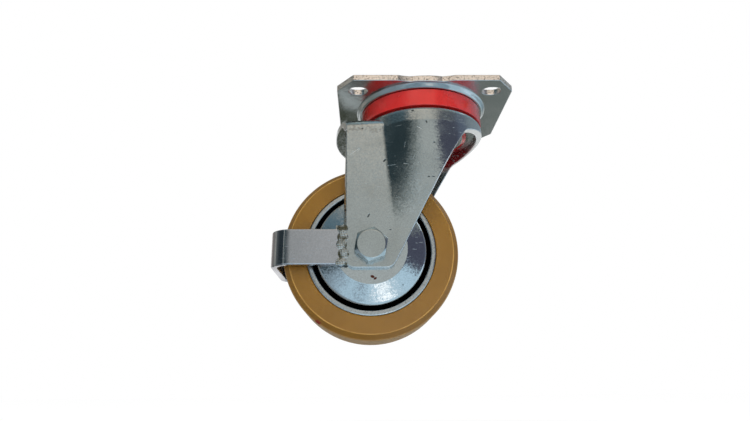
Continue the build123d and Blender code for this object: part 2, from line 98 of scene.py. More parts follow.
def colour_setting(name, description, code):
    """A colour that a user may change."""
    return FloatVectorProperty(name=name, description=description, subtype="COLOR", size=3,
                               default=linear(code))


class CastorSizes(bpy.types.PropertyGroup):
    """Sizes of the parts that are shaped here."""

    sheet: length_setting("Sheet", "Thickness of the guard's bar", 3.5)
    edge: length_setting("Edge", "Rounding of the guard bar's edges", 0.6)
    tread_edge: length_setting("Tread edge", "Rounding of the tread's shoulders", 4.0)
    cover: length_setting("Cover", "Thickness of the wheel covers", 1.2)
    cover_flat: length_setting("Cover flat", "Radius of the flat round each cover's middle", 20.3)
    bar_bend: length_setting("Bar bend", "Outer bend radius of the guard's bar", 11.5)
    hexagon: length_setting("Hexagon", "Across flats of bolt and nut", 17)
    head: length_setting("Bolt head", "Height of the bolt's head", 6.4)
    pitch: length_setting("Thread pitch", "Pitch of the bolt's thread", 1.5)
    bolt_turn: angle_setting("Bolt turn", "Turn of the bolt's head from a corner upwards", -10)
    steps: IntProperty(name="Steps", description="Steps round a full turn", default=192, min=48)


class CastorColours(bpy.types.PropertyGroup):
    """Colours of the castor's finishes."""

    zinc: colour_setting("Zinc", "Bright zinc plating on the pressed steel", "#cbd1d1")
    zinc_stain: colour_setting("Zinc stain", "Milky clouds in the plating", "#a9ada6")
    bar: colour_setting("Bar zinc", "Plating on the guard's drawn bar", "#d8d8de")
    cover: colour_setting("Cover zinc", "Brighter plating on the thin wheel covers", "#d6dde0")
    weld: colour_setting("Weld", "Plated weld metal", "#c9cbc8")
    # the weld's stain colour is also the painted shade in its crevices
    weld_scale_and_shade: colour_setting("Weld stain", "Scale and flux left in the weld", "#5e5a44")
    seal: colour_setting("Seal red", "Moulded red plastic of the swivel's seals", "#a81f1c")
    tread: colour_setting("Tread", "Mustard brown cast polyurethane", "#715018")
    rim: colour_setting("Rim alloy", "Satin die-cast wheel centre", "#d6d9da")


class CastorStudio(bpy.types.PropertyGroup):
    """Camera, floor and lights."""

    lens: FloatProperty(name="Lens", description="Focal length on a 36 mm wide sensor", unit="CAMERA",
                        default=26.77)
    place: FloatVectorProperty(name="Camera place", description="Where the camera stands", precision=5,
                               subtype="TRANSLATION", size=3,
                               default=(-35.782 * MM, -327.055 * MM, -171.306 * MM))
    yaw: angle_setting("Yaw", "Turn of the view from +Y towards +X", 1.019)
    pitch: angle_setting("Pitch", "Upward tilt of the view", 17.38)
    roll: angle_setting("Roll", "Lean of the picture", -0.531)
    room_light: FloatProperty(name="Room light", description="Brightness of the room in metal", default=1.6)
    room_in_metal: FloatProperty(name="Room in metal", min=0, max=1, default=1.0,
                                 description="Share of the drawn room in metal; at 0 it shows white alone")
    fill_light: FloatProperty(name="Fill light", description="Even light from all round", default=0.55)
    floor_drop: length_setting("Floor drop", "How far the floor lies below the plate's face", 250)


# --- surfaces: every shape is worked out in millimetres -----------------------------------
def rounded_loop(corners, radii, steps=5):
    """Closed outline: each corner becomes an arc, tangent to both sides, its points evenly apart."""
    corner = np.array(corners, float)
    radius = np.broadcast_to(np.array(radii, float), len(corner))[:, None]
    back, ahead = (np.roll(corner, shift, 0) - corner for shift in (1, -1))
    back /= np.linalg.norm(back, axis=1, keepdims=True)
    ahead /= np.linalg.norm(ahead, axis=1, keepdims=True)
    half = np.arccos(np.clip((back * ahead).sum(1), -1, 1))[:, None] / 2
    middle = (back + ahead) / np.linalg.norm(back + ahead, axis=1, keepdims=True)
    centre = corner + middle * radius / np.sin(half)
    start, end = (corner + side * radius / np.tan(half) - centre for side in (back, ahead))
    share = np.linspace(0, 1, steps + 1)[None, :, None]
    sweep = (np.pi - 2 * half)[:, :, None]
    arc = np.sin((1 - share) * sweep) * start[:, None] + np.sin(share * sweep) * end[:, None]
    return (arc / np.sin(sweep) + centre[:, None]).reshape(-1, 2)


def rounded_line(corners, radii, steps=6):
    """Open outline with rounded inner corners, its two ends kept."""
    sharp = 0.001
    loop = rounded_loop(corners, [sharp, *radii, sharp], steps)
    inner = loop[steps + 1:-(steps + 1)]
    return np.vstack([corners[0], inner, corners[-1]])


def sheet_loop(line, thickness, end_steps=5):
    """Closed outline of a sheet: a line moved out by half its thickness each way, with half-round ends."""
    ahead = np.gradient(line, axis=0)
    ahead /= np.linalg.norm(ahead, axis=1, keepdims=True)
    out = np.stack([ahead[:, 1], -ahead[:, 0]], 1)
    turn = np.linspace(0, np.pi, end_steps + 2)[1:-1, None]
    half = thickness / 2
    last = line[-1] + half * (np.cos(turn) * out[-1] + np.sin(turn) * ahead[-1])
    first = line[0] - half * (np.cos(turn) * out[0] + np.sin(turn) * ahead[0])
    return np.vstack([line + half * out, last, (line - half * out)[::-1], first])


def turned(outline, steps, middle, axis="z", side=1):
    """Turn an outline of (radius, height) about an axis through middle: each point becomes a circle."""
    angle = np.arange(steps)[:, None] * (2 * np.pi / steps)
    radius, height = (np.broadcast_to(column, (steps, len(outline))) for column in outline.T)
    around, up, height = radius * np.cos(angle), radius * np.sin(angle), side * height
    places = [around, up, height] if axis == "z" else [around, height, up]
    return np.stack(places, -1) + middle


def grid_faces(rows, columns, wrap_rows=False, wrap_columns=False):
    """Four-sided faces between neighbours of a grid of points, wrapped round where asked."""
    row = np.arange(rows if wrap_rows else rows - 1)[:, None]
    column = np.arange(columns if wrap_columns else columns - 1)
    below, right = (row + 1) % rows * columns, (column + 1) % columns
    row = row * columns
    return np.stack([row + column, below + column, below + right, row + right], -1).reshape(-1, 4)


def add_object(name, data):
    """A new object at the origin, in the scene."""
    made = bpy.data.objects.new(name, data)
    bpy.context.scene.collection.objects.link(made)
    return made


def make_piece(name, grids, body, coat, replaced):
    """Put grids of points, in millimetres, into one closed mesh that rides on a body and takes a finish."""
    points, faces, count = [], [], 0
    for grid, wrap_rows, wrap_columns in grids:
        rows, columns = grid.shape[:2]
        points.append(grid.reshape(-1, 3))
        faces.append(grid_faces(rows, columns, wrap_rows, wrap_columns) + count)
        count += rows * columns
    mesh = bpy.data.meshes.new(name)
    mesh.from_pydata((np.vstack(points) * MM).tolist(), [], np.vstack(faces).tolist())
    tidy = bmesh.new()
    tidy.from_mesh(mesh)
    bmesh.ops.remove_doubles(tidy, verts=tidy.verts, dist=0.002 * MM)
    bmesh.ops.recalc_face_normals(tidy, faces=tidy.faces)
    tidy.to_mesh(mesh)
    tidy.free()
    mesh.shade_smooth()
    piece = add_object(name, mesh)
    piece.modifiers.new("even_shading", "WEIGHTED_NORMAL").mode = "FACE_AREA"
    mesh.materials.append(finish(coat))
    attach(piece, body)
    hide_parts(*replaced)


# --- shader trees -------------------------------------------------------------------------
# settings of a node here unless it is given others: colours are mixed, values multiplied and ranges eased
USUAL = {"Mix": {"data_type": "RGBA"}, "Math": {"operation": "MULTIPLY"},
         "MapRange": {"interpolation_type": "SMOOTHSTEP"}}


def node(tree, kind, inputs=(), **settings):
    """Add a shader node; settings are its attributes. Its inputs go by name, or in order to its sockets in
    use: each is a value, a socket, or a node, whose first output in use feeds it."""
    made = tree.nodes.new("ShaderNode" + kind)
    for name, value in {**USUAL.get(kind, {}), **settings}.items():
        setattr(made, name, value)
    if not isinstance(inputs, dict):
        in_use = [index for index, socket in enumerate(made.inputs) if socket.enabled]
        inputs = dict(zip(in_use, inputs))
    for key, value in inputs.items():
        socket = made.inputs[key]
        if isinstance(value, bpy.types.Node):
            value = next(output for output in value.outputs if output.enabled)
        if isinstance(value, bpy.types.NodeSocket):
            tree.links.new(value, socket)
        elif socket.type == "RGBA" and len(value) == 3:
            socket.default_value = (*value, 1)
        else:
            socket.default_value = value
    return made


def pattern(place, size, **more):
    """Inputs of a texture whose pattern repeats about every size, in mm."""
    return {"Vector": place, "Scale": 1 / (size * MM), **more}


def distance_from(tree, place, middle, across):
    """Distance in metres from a line through middle, in mm; across is 0 along the line and 1 square to it."""
    off = node(tree, "VectorMath", (place, [value * MM for value in middle]), operation="SUBTRACT")
    flat = node(tree, "VectorMath", (off, across), operation="MULTIPLY")
    return node(tree, "VectorMath", (flat,), operation="LENGTH")


def coated(tree, colour, coats):
    """A colour with coats over it in order, each a share and a colour."""
    for share, coat in coats:
        colour = node(tree, "Mix", (share, colour, coat))
    return colour


def relief(tree, layers, edge_mm=0.3, tilt=None):
    """Normal of a surface with rounded edges, tilted crystals and layers of (height, depth in mm) laid on."""
    normal = node(tree, "Bevel", {"Radius": edge_mm * MM}, samples=6)
    if tilt:
        leant = node(tree, "VectorMath", (normal, tilt), operation="ADD")
        normal = node(tree, "VectorMath", (leant,), operation="NORMALIZE")
    for height, depth in layers:
        normal = node(tree, "Bump", {"Height": height, "Normal": normal, "Distance": depth * MM})
    return normal


def edge_rub_and_highlight(tree, edge_mm):
    """Mask of sheared and rubbed edges, which take rubbed bright plating and also a painted edge highlight:
    where the rounded normal leaves the surface's own.
    """
    rounded = node(tree, "Bevel", {"Radius": edge_mm * MM}, samples=6)
    own = node(tree, "NewGeometry").outputs["Normal"]
    alike = node(tree, "VectorMath", (rounded, own), operation="DOT_PRODUCT")
    return node(tree, "MapRange", (alike, 0.985, 0.9))


def scratches(tree, place, turn, rarity):
    """Mask of short hairline scratches that all lean about one way: stretched noise, cut high."""
    lean = node(tree, "Mapping", {"Vector": place, "Rotation": turn, "Scale": (160, 160, 4200)})
    lines = node(tree, "TexNoise", {"Vector": lean, "Scale": 1.0, "Detail": 1.0, "Distortion": 0.4})
    return node(tree, "MapRange", (lines, rarity, rarity + 0.05))


def marks(tree, place, spots):
    """Mask of marks given one by one: soft ellipsoids of (middle, half sizes, lean about Y), mm and degrees.
    """
    mask = 0.0
    for middle, size, lean in spots:
        local = node(tree, "Mapping", (place, [value * MM for value in middle], (0, math.radians(lean), 0),
                                       [value * MM for value in size]), vector_type="TEXTURE")
        far = node(tree, "VectorMath", (local,), operation="LENGTH")
        spot = node(tree, "MapRange", (far, 1.15, 0.75))
        mask = node(tree, "Math", (mask, spot), operation="MAXIMUM")
    return mask


# --- finishes -----------------------------------------------------------------------------
# kinds of wear on plating, and of painted shade and painted highlight laid on the same way: how much a full
# mark covers, between which values the plating's grain breaks it, its colour, and how far it stands proud in
# mm, or cuts in where that is negative
WEAR = {
    "nick": (0.8, None, "#3f423f", -0.25),
    # hairline scratches, and on the guard's bar pale lines of painted highlight
    "scratch_and_highlight": (1.0, None, "#f6f6f3", -0.08),
    "scuff": (0.5, (0.30, 0.80), "#dfe7ea", 0.015),
    # a darker brownish tone laid over the plating in patches
    "dark_brown_patch": (0.45, (0.35, 0.70), "#867e73", 0),
    "rust": (1.0, None, "#653527", 0),
    # painted shade: dark bands that stand for shade and dark reflections
    "painted_shade": (0.55, None, "#59656f", 0),
}


def plated_steel(tree, place, colour, stain, roughness, sparkle=0.05, clouding=0.25, drawn=0.0, edge_mm=0.3,
                 wear_and_painted_light=(), rubbed=0.0, sheared=0.0, red_reflection_reach=0.0):
    """Zinc-plated pressed steel. Barrel plating leaves a bright, slightly blue metal with crystals that
    sparkle, milky clouds, drawing lines from the press and hairline scratches from handling. The crystals are
    0.2 mm across on the real part and 0.7 mm here, so that they show.

    sparkle is how far the crystals tilt, clouding is how strongly clouds show, and rubbed is how strongly the
    edges show rubbed bright plating together with a painted edge highlight; drawn is the depth of the drawing
    lines, and sheared is the thickness whose sides are bare torn steel, beige with dark specks. The last
    setting is how far from the swivel axis a painted dark red reflection of the red seal reaches under the
    crown on +Y, where the steel is painted red and is no metal. These depths and lengths are in mm."""
    crystal = node(tree, "TexVoronoi", pattern(place, 0.7))
    cloud = node(tree, "TexNoise", pattern(place, 15, Detail=2.0))
    peel = node(tree, "TexNoise", pattern(place, 1.6, Detail=3.0))
    pit = node(tree, "TexVoronoi", pattern(place, 4.5))
    near = node(tree, "MapRange", (pit, 0.09, 0.05))
    few = node(tree, "MapRange", (pit.outputs["Color"], 0.72, 0.74))
    pitted = node(tree, "Math", (near, few))
    one = scratches(tree, place, (0.3, math.radians(35), 0.2), 0.74)
    two = scratches(tree, place, (0.1, math.radians(-62), 0.5), 0.76)
    scratched = node(tree, "Math", (one, two), operation="MAXIMUM")
    coats = [(node(tree, "MapRange", (cloud, 0.46, 0.78, 0, clouding)), stain),
             (node(tree, "MapRange", (crystal.outputs["Color"], 0, 1, 0, 0.22)), linear("#95999e")),
             (pitted, linear("#454845")),
             (node(tree, "MapRange", (scratched, 0, 1, 0, 0.6)), linear("#eff1f1"))]
    layers = [(peel, 0.012), (pitted, -0.15), (scratched, -0.03)]
    if drawn:
        pressed = node(tree, "Mapping", {"Vector": place, "Scale": (3000, 3000, 60)})
        layers.append((node(tree, "TexNoise", {"Vector": pressed, "Scale": 1.0, "Detail": 2.0}), drawn))
    if rubbed:
        # one pale colour on the edges: rubbed bright plating, and also a painted edge highlight
        rub_and_highlight_share = node(tree, "Math", (edge_rub_and_highlight(tree, edge_mm), rubbed))
        coats.append((rub_and_highlight_share, linear("#e5e7eb")))
    if sheared:
        facing = node(tree, "SeparateXYZ", (node(tree, "NewGeometry").outputs["Normal"],)).outputs["Z"]
        upright = node(tree, "Math", (facing,), operation="ABSOLUTE")
        side = node(tree, "MapRange", (upright, 0.30, 0.10), interpolation_type="LINEAR")
        level = node(tree, "SeparateXYZ", (place,)).outputs["Z"]
        high = node(tree, "Math", (level, (0.2 - sheared) * MM), operation="GREATER_THAN")
        torn = node(tree, "Math", (side, high))
        speck = node(tree, "MapRange", (crystal.outputs["Color"], 0.60, 0.78, 0, 0.55),
                     interpolation_type="LINEAR")
        specked = node(tree, "Math", (torn, speck))
        coats += [(torn, linear("#fff4ec")), (specked, linear("#4a443c"))]
    for kind, spots in wear_and_painted_light:
        full, broken, tone, depth = WEAR[kind]
        mask = share = marks(tree, place, spots)
        if broken:
            grain = node(tree, "MapRange", (peel, *broken, 0, full))
            mask = share = node(tree, "Math", (mask, grain))
        elif full < 1:
            share = node(tree, "MapRange", (mask, 0, 1, 0, full))
        coats.append((share, linear(tone)))
        if depth:
            layers.append((mask, depth))
    metal = 1.0
    # painted reflection: dark red under the crown on +Y stands for the red seal seen in the steel
    if red_reflection_reach:
        reach = distance_from(tree, place, (0, 0, 0), (1, 1, 0))
        spot = node(tree, "SeparateXYZ", (place,))
        # what limits the painted red reflection, its value where the steel is clean, and its value where the
        # painted red is full
        limits = ((reach, red_reflection_reach * MM, (red_reflection_reach - 0.6) * MM), (spot.outputs["Z"], -34 * MM, -29 * MM),
                  (spot.outputs["Y"], -2 * MM, 16 * MM), (peel, 0.25, 0.45))
        painted_red_reflection = 1.0
        for limit in limits:
            share = node(tree, "MapRange", limit, interpolation_type="LINEAR")
            painted_red_reflection = node(tree, "Math", (painted_red_reflection, share))
        coats.append((painted_red_reflection, linear("#6c1519")))
        metal = node(tree, "Math", (1.0, painted_red_reflection), operation="SUBTRACT")
    rough = node(tree, "MapRange", (cloud, 0.35, 0.75, roughness - 0.03, roughness + 0.07))
    half = node(tree, "VectorMath", (crystal.outputs["Color"], (0.5, 0.5, 0.5)), operation="SUBTRACT")
    tilt = node(tree, "VectorMath", (half, sparkle), operation="SCALE")
    return node(tree, "BsdfPrincipled", {
        "Base Color": coated(tree, colour, coats), "Metallic": metal, "Roughness": rough,
        "Normal": relief(tree, layers, edge_mm, tilt)})


def weld_metal(tree, place, colour, stain):
    """Plated weld metal: frozen ripples under bright zinc, which pools thin and brown in the hollows, where
    the same brown also darkens the crevices as painted shade. The ripples are about 1 mm apart on the real
    bead and 2 mm here, so that they show."""
    ripple = node(tree, "TexNoise", pattern(place, 2.0, Detail=3.0, Distortion=1.2))
    hollow = node(tree, "TexVoronoi", pattern(place, 3.4), feature="SMOOTH_F1")
    # brown zinc in the hollows, which also serves as painted shade in the crevices
    stain_and_crevice_shade = node(tree, "MapRange", (hollow, 0.34, 0.6, 0, 0.95))
    rough = node(tree, "MapRange", (ripple, 0.3, 0.7, 0.05, 0.16), interpolation_type="LINEAR")
    return node(tree, "BsdfPrincipled", {
        "Base Color": coated(tree, colour, [(stain_and_crevice_shade, stain)]), "Metallic": 1.0, "Roughness": rough,
        "Normal": relief(tree, [(hollow, -0.5), (ripple, 0.2)], 0.2)})


def cast_alloy(tree, place, colour):
    """Die-cast aluminium: a satin, slightly grainy skin with faint rings where its rim is turned, and painted
    near black inside the wheel as shade in its deep recess."""
    grain = node(tree, "TexNoise", pattern(place, 0.9, Detail=4.0))
    cloud = node(tree, "TexNoise", pattern(place, 11, Detail=3.0))
    reach = distance_from(tree, place, AXLE, (1, 0, 1))
    ring = node(tree, "TexNoise", {"W": reach, "Scale": 1 / (0.5 * MM), "Detail": 2.0}, noise_dimensions="1D")
    side = node(tree, "SeparateXYZ", (place,)).outputs["Y"]
    inward = node(tree, "Math", (side,), operation="ABSOLUTE")
    # painted shade: inward of the rim's face the wheel centre is painted near black, standing for the shade
    # in the deep narrow recess
    painted_recess_shade = node(tree, "MapRange", (inward, (WHEEL_HALF - 0.7) * MM, (WHEEL_HALF - 2.2) * MM))
    coats = [(node(tree, "MapRange", (grain, 0.45, 0.75)), [0.6 * value for value in colour]),
             (painted_recess_shade, linear("#1d1f22"))]
    return node(tree, "BsdfPrincipled", {
        "Base Color": coated(tree, colour, coats), "Metallic": 1.0,
        "Roughness": node(tree, "MapRange", (cloud, 0.3, 0.7, 0.2, 0.36)),
        "Normal": relief(tree, [(grain, 0.04), (ring, 0.015)])})


def ground_steel(tree, place, colour, roughness):
    """Hardened bearing steel, ground and lapped: a clear mirror with the finest of marks."""
    haze = node(tree, "TexNoise", pattern(place, 3, Detail=3.0))
    rough = node(tree, "MapRange", (haze, 0.3, 0.7, roughness - 0.03, roughness + 0.06))
    return node(tree, "BsdfPrincipled", {
        "Base Color": colour, "Metallic": 1.0, "Roughness": rough,
        "Normal": relief(tree, [(haze, 0.006)], 0.15)})


def moulded_plastic(tree, place, colour, roughness, coat=0.0):
    """Injection-moulded plastic: even colour, a soft gloss, faint flow clouds and a few rubbed lines."""
    grain = node(tree, "TexNoise", pattern(place, 1.2, Detail=3.0))
    flow = node(tree, "TexNoise", pattern(place, 9, Detail=3.0, Distortion=0.6))
    lines = scratches(tree, place, (0.2, math.radians(12), 0.1), 0.80)
    clouds = [(node(tree, "MapRange", (flow, 0.35, 0.75, 0, 0.5)), [0.72 * value for value in colour])]
    return node(tree, "BsdfPrincipled", {
        "Base Color": coated(tree, colour, clouds), "Coat Weight": coat, "Coat Roughness": 0.12,
        "Roughness": node(tree, "MapRange", (flow, 0.3, 0.7, roughness - 0.05, roughness + 0.08)),
        "Normal": relief(tree, [(grain, 0.012), (lines, -0.02)], 0.25)})


def cast_polyurethane(tree, place, colour, dust):
    """Polyurethane cast round the wheel: a waxy, slightly see-through mustard skin with faint flow clouds, a
    painted pale highlight line inside each shoulder and dust on the face that rolls."""
    cloud = node(tree, "TexNoise", pattern(place, 13, Detail=4.0))
    grain = node(tree, "TexNoise", pattern(place, 0.8, Detail=3.0))
    reach = distance_from(tree, place, AXLE, (1, 0, 1))
    rolled = node(tree, "MapRange", (reach, (WHEEL_R - 0.9) * MM, (WHEEL_R - 0.1) * MM))
    dusty = node(tree, "Math", (rolled, node(tree, "MapRange", (grain, 0.25, 0.75, 0.65, 0.9))))
    # painted highlight: a pale line round the face just inside each shoulder
    painted_highlight_line = node(tree, "Math", (reach, (WHEEL_R - 3.3) * MM, 0.3 * MM), operation="COMPARE")
    highlight_strength = node(tree, "MapRange", (cloud, 0.35, 0.65, 0.15, 0.7), interpolation_type="LINEAR")
    coats = [(node(tree, "MapRange", (cloud, 0.35, 0.7, 0, 0.45)), [0.78 * value for value in colour]),
             (dusty, dust), (node(tree, "Math", (painted_highlight_line, highlight_strength)), linear("#a98546")),
             (marks(tree, place, TREAD_CHIP), linear("#6a2418"))]
    return node(tree, "BsdfPrincipled", {
        "Base Color": coated(tree, colour, coats), "Specular IOR Level": 0.35, "Subsurface Weight": 0.12,
        "Roughness": node(tree, "MapRange", (dusty, 0, 1, 0.36, 0.62)), "Subsurface Scale": 2 * MM,
        "Normal": relief(tree, [(cloud, 0.10), (grain, 0.012)], 0.4), "Subsurface Radius": (1.0, 0.55, 0.15)})


def painted_floor(tree, place):
    """Pale matt floor paint: takes a soft shadow, and reads as white where nothing shades it. The lamps light
    the floor near the castor alone, so the lift grows with distance from it, in metres."""
    grain = node(tree, "TexNoise", pattern(place, 30, Detail=2.0))
    rays, seen = node(tree, "LightPath").outputs, 0.0
    for ray in ("Is Camera Ray", "Is Glossy Ray", "Is Transmission Ray"):
        seen = node(tree, "Math", (seen, rays[ray]), operation="MAXIMUM")
    away = node(tree, "VectorMath", (place,), operation="LENGTH")
    unlit = node(tree, "MapRange", (away, 0.4, 1.3, 0.17, 0.50))
    lift = node(tree, "Math", (seen, unlit))
    matt = node(tree, "BsdfDiffuse", {"Color": node(tree, "MapRange", (grain, 0.3, 0.7, 0.895, 0.905))})
    return node(tree, "AddShader", (matt, node(tree, "Emission", ((1, 1, 1, 1), lift))))


# wear on the near leg: what it is, and its marks as (middle, half sizes, lean)
LEG_WEAR = (
    ("nick", (((-8.4, -37.1, -20.1), (0.8, 2, 0.5), 0), ((-37.4, -29, -27.5), (0.5, 2, 0.4), 0),
              ((-24.7, -29, -47.8), (0.5, 2, 1.1), 35), ((-0.7, -37.9, -27.5), (0.4, 2, 0.9), -20),
              ((-34.1, -29, -80.9), (0.4, 2, 1.2), 25), ((-22, -29, -89.1), (0.5, 2, 0.3), 0),
              ((0.0, -33.2, -59.3), (0.8, 2, 0.35), 0), ((2.6, -33.1, -59.3), (0.9, 2, 0.3), 0),
              ((-47.2, -29, -77.5), (0.9, 2, 0.6), 30), ((3.6, -35.5, -39.5), (0.6, 2, 0.4), 0))),
    ("scratch_and_highlight", (((-4.4, -37, -31.2), (1.9, 2, 0.22), 32), ((-41.6, -29, -42), (3.6, 2, 0.16), -38),
                 ((-39.6, -29, -41.4), (1.5, 2, 0.14), -45), ((-13, -34, -40), (0.2, 2, 1.6), 10),
                 ((-8.2, -33.8, -48), (0.2, 2, 1.3), 18), ((-20.5, -29.8, -51.2), (2.6, 2, 0.16), 0),
                 ((-12.5, -32.6, -51.4), (1.4, 2, 0.18), 14))),
    ("scuff", (((-7.4, -31.9, -64), (4.6, 4, 5.5), 0), ((-14.5, -30, -75.5), (7.5, 3, 3.6), 20),
               ((-44.6, -29, -42.5), (3.0, 2, 2.4), 40))),
    # darker brownish patches along the top of the near leg, below the plate
    ("dark_brown_patch", (((-39, -29, -26.5), (9.5, 3, 2.6), -4), ((-29.5, -29, -28.8), (4.5, 3, 1.6), -8),
               ((-45.8, -29, -28), (1.0, 3, 2.5), 0))),
)
# painted reflections across the bar's front bend: dark bands of painted shade and pale lines of painted
# highlight, each a full-height line
BAR_PAINTED_REFLECTIONS = (
    ("painted_shade", (((-83.2, -27.4, -99), (2.4, 2.5, 30), 0), ((-87.2, -24, -99), (1.0, 2.0, 30), 0))),
    ("scratch_and_highlight", (((-80.4, -28.7, -99), (0.5, 1.5, 12), 0), ((-85.7, -25.7, -99), (0.3, 1.0, 12), 0))),
)
# painted shade: a dark band on the front of the plate's raised ring round the seal
RING_PAINTED_SHADE = (
    ("painted_shade", (((1, -39, -5.5), (15, 4, 2.5), 0),)),
)
COVER_WEAR = (
    ("rust", (((-32.1, -25.4, -114.7), (1.2, 2, 0.8), 20), ((-30.6, -25.4, -115.7), (1.0, 2, 0.6), -30))),
)
TREAD_CHIP = (((-62.2, -17.0, -138.2), (1.6, 2.0, 1.4), 40), ((-60.9, -18.0, -138.6), (0.6, 1.0, 0.5), 0))
PLATE_THICK = 3.5
# how far from the swivel axis the painted dark red reflection of the red seal reaches under the crown, in mm
RED_REFLECTION_REACH = 36.6


def finish(name):
    """The finish of that name, made the first time that it is asked for."""
    if name in bpy.data.materials:
        return bpy.data.materials[name]
    material = bpy.data.materials.new(name)
    material.use_nodes = True
    tree = material.node_tree
    tree.nodes.clear()
    at = (tree, node(tree, "TexCoord").outputs["Object"])
    colours = bpy.context.scene.castor_colours
    zinc, stain = colours.zinc, colours.zinc_stain
    makers = {
        "zinc_plated_plate": lambda: plated_steel(
            *at, zinc, stain, 0.20, edge_mm=0.6, wear_and_painted_light=RING_PAINTED_SHADE, rubbed=0.9, sheared=PLATE_THICK),
        "zinc_plated_fork": lambda: plated_steel(
            *at, zinc, stain, 0.20, 0.07, drawn=0.006, edge_mm=1.0, wear_and_painted_light=LEG_WEAR, rubbed=1.0,
            red_reflection_reach=RED_REFLECTION_REACH),
        "zinc_plated_bar": lambda: plated_steel(
            *at, colours.bar, stain, 0.24, 0.015, 0.06, edge_mm=0.7, wear_and_painted_light=BAR_PAINTED_REFLECTIONS, rubbed=0.8),
        "zinc_plated_cover": lambda: plated_steel(
            *at, colours.cover, stain, 0.15, 0.07, 0.08, wear_and_painted_light=COVER_WEAR),
        "zinc_plated_bolt": lambda: plated_steel(*at, zinc, stain, 0.11, 0.012, 0.12),
        "zinc_plated_pin": lambda: plated_steel(*at, zinc, stain, 0.30),
        "plated_weld": lambda: weld_metal(*at, colours.weld, colours.weld_scale_and_shade),
        "die_cast_alloy": lambda: cast_alloy(*at, colours.rim),
        "ground_steel": lambda: ground_steel(*at, linear("#d2d4d6"), 0.16),
        "lapped_ball_steel": lambda: ground_steel(*at, linear("#dcdee0"), 0.08),
        "moulded_red": lambda: moulded_plastic(*at, colours.seal, 0.20, 0.5),
        "moulded_nylon": lambda: moulded_plastic(*at, linear("#dcdcd2"), 0.45),
        "moulded_brown_nylon": lambda: moulded_plastic(*at, linear("#6a5a41"), 0.40),
        "cast_polyurethane": lambda: cast_polyurethane(*at, colours.tread, linear("#9c7f55")),
        "painted_floor": lambda: painted_floor(*at),
    }
    node(tree, "OutputMaterial", {"Surface": makers[name]()})
    return material


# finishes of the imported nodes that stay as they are
NODE_FINISHES = {
    "top_plate": "zinc_plated_plate", "king_pin": "zinc_plated_pin", "lower_race": "zinc_plated_plate",
    "lower_seal": "moulded_red", "upper_balls": "lapped_ball_steel", "lower_balls": "lapped_ball_steel",
    "fork": "zinc_plated_fork", "axle_nut_insert": "moulded_nylon", "axle_sleeve": "zinc_plated_pin",
    "bearing_spacer": "zinc_plated_pin", "bearing_outer": "ground_steel", "bearing_inner": "ground_steel",
    "bearing_balls": "lapped_ball_steel", "bearing_cage": "moulded_brown_nylon",
    "bearing_shield": "ground_steel",
}


# --- wheel --------------------------------------------------------------------------------
class CASTOR_OT_wheel(bpy.types.Operator):
    """Turn the tread and the die-cast wheel centre"""

    bl_idname = "castor.wheel"
    bl_label = "Wheel"

    def execute(self, context):
        sizes = context.scene.castor_sizes
        # a shoulder takes a little more of the rolling width than of the face
        shoulder, shoulder_r, lip = sizes.tread_edge / MM, 3.0, 0.5
        face_r, roll_y = WHEEL_R - 0.78 * shoulder, WHEEL_HALF - 0.9 * shoulder
        outline = [(WHEEL_R, -roll_y), (WHEEL_R, roll_y), (face_r, WHEEL_HALF), (RIM_R, WHEEL_HALF),
                   (RIM_R, -WHEEL_HALF), (face_r, -WHEEL_HALF)]
        tread = rounded_loop(outline, [shoulder_r, shoulder_r, lip, lip, lip, lip], 8)
        make_piece("wheel_tread", [(turned(tread, sizes.steps, AXLE, "y"), True, True)], "wheel",
                   "cast_polyurethane", ["tread"])

        rim_in, web, hub_r, draft = RIM_R - 3.0, 4.0, 21.0, 0.6
        seat_y, bore = HUB_HALF - 2 * BEARING_HALF, SEAT_R - 2.0
        far = [(bore, seat_y), (SEAT_R, seat_y), (SEAT_R, HUB_HALF), (hub_r, HUB_HALF), (hub_r + draft, web),
               (rim_in - draft, web), (rim_in, WHEEL_HALF), (RIM_R, WHEEL_HALF)]
        radii = [0.3, 0.3, 0.5, 0.8, 3.0, 3.0, 0.7, 1.0]
        outline = far + [(r, -y) for r, y in far[::-1]]
        centre = rounded_loop(outline, radii + radii[::-1], 5)
        make_piece("wheel_centre", [(turned(centre, sizes.steps, AXLE, "y"), True, True)], "wheel",
                   "die_cast_alloy", ["wheel_rim"])
        return {"FINISHED"}


class CASTOR_OT_covers(bpy.types.Operator):
    """Turn the two dished covers beside the hub"""

    bl_idname = "castor.covers"
    bl_label = "Wheel covers"

    def execute(self, context):
        sizes = context.scene.castor_sizes
        thick, flat, wall = sizes.cover / MM, sizes.cover_flat / MM, 3.5
        radius, face = COVER_HALF[0] - thick / 2, COVER_MIDDLE[1] + COVER_HALF[1] - thick / 2
        lip = COVER_MIDDLE[1] - COVER_HALF[1] + thick / 2
        line = [(radius, lip), (radius, lip + wall), (flat, face), (SLEEVE_R + thick / 2, face)]
        outline = sheet_loop(rounded_line(line, [1.6, 1.5], 8), thick)
        for name, side in (("near", -1), ("far", 1)):
            dish = turned(outline, sizes.steps, AXLE, "y", side)
            make_piece(f"wheel_cover_{name}", [(dish, True, True)], "fork", "zinc_plated_cover",
                       [f"thread_guard_{name}"])
        return {"FINISHED"}


# --- axle ---------------------------------------------------------------------------------
# radius of the round face that the chamfer leaves, as a share of the hexagon's width across flats
FACE_SHARE = 0.46
CHAMFER = math.radians(30)


def hexagon_reach(angle, across, sharpness=140):
    """Reach of a hexagon with a corner straight up: a smooth largest of its six sides, which just breaks its
    corners."""
    sides = np.deg2rad(np.arange(0, 360, 60))
    faced = np.clip(np.cos(angle[:, None] - sides), 0, None)
    return across / 2 / (faced ** sharpness).sum(1) ** (1 / sharpness)


